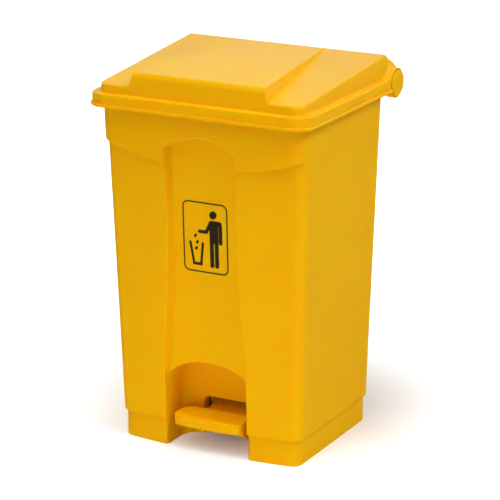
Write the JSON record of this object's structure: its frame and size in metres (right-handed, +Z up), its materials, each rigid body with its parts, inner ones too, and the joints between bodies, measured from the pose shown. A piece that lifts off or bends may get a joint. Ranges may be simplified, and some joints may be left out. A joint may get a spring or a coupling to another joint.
{
  "type": "pedal bin",
  "caption": "Free-standing pedal bin: tapered tub with a pedal niche in front and a hinged stepped lid, raised by a rod in the rear wall.",
  "frame": {"origin": "centre of the overall footprint, on the floor plane", "axes": "+X to the right seen from the front, +Y to the rear (the hinge side), +Z up"},
  "size_m": [0.38, 0.341, 0.6],
  "materials": {
    "yellow_polyethylene": "satin-gloss moulded polyethylene, yellow",
    "zinc_plated_steel": "zinc-plated steel"
  },
  "bodies": {
    "tub": {"bin_body": "yellow_polyethylene", "hinge_pin_left": "yellow_polyethylene", "hinge_pin_right": "yellow_polyethylene", "pedal_axle": "zinc_plated_steel", "axle_clip_left": "zinc_plated_steel", "axle_clip_right": "zinc_plated_steel", "rod_keeper_upper": "yellow_polyethylene", "rod_keeper_lower": "yellow_polyethylene"},
    "lid": {"lid": "yellow_polyethylene", "crank_pin": "zinc_plated_steel", "crank_pin_clip": "zinc_plated_steel"},
    "pedal": {"pedal": "yellow_polyethylene", "link_pin": "zinc_plated_steel", "link_pin_clip": "zinc_plated_steel"},
    "lift_rod": {"lift_rod": "zinc_plated_steel"}
  },
  "joints": [
    {"name": "lid_hinge", "type": "hinge", "parent": "tub", "child": "lid", "pos_m": [0, 0.147, 0.554], "axis": [-1, 0, 0], "range_deg": [0, 80]},
    {"name": "pedal_pivot", "type": "hinge", "parent": "tub", "child": "pedal", "pos_m": [0, -0.02, 0.046], "axis": [1, 0, 0], "range_deg": [0, 14.34]},
    {"name": "link_pivot", "type": "hinge", "parent": "pedal", "child": "lift_rod", "pos_m": [0, 0.11295, 0.02929], "axis": [-1, 0, 0], "range_deg": [0, 14.34]}
  ],
  "couplings": [
    {"joint": "pedal_pivot", "follows": "lid_hinge", "ratio": 0.17911},
    {"joint": "link_pivot", "follows": "lid_hinge", "ratio": 0.17911}
  ]
}
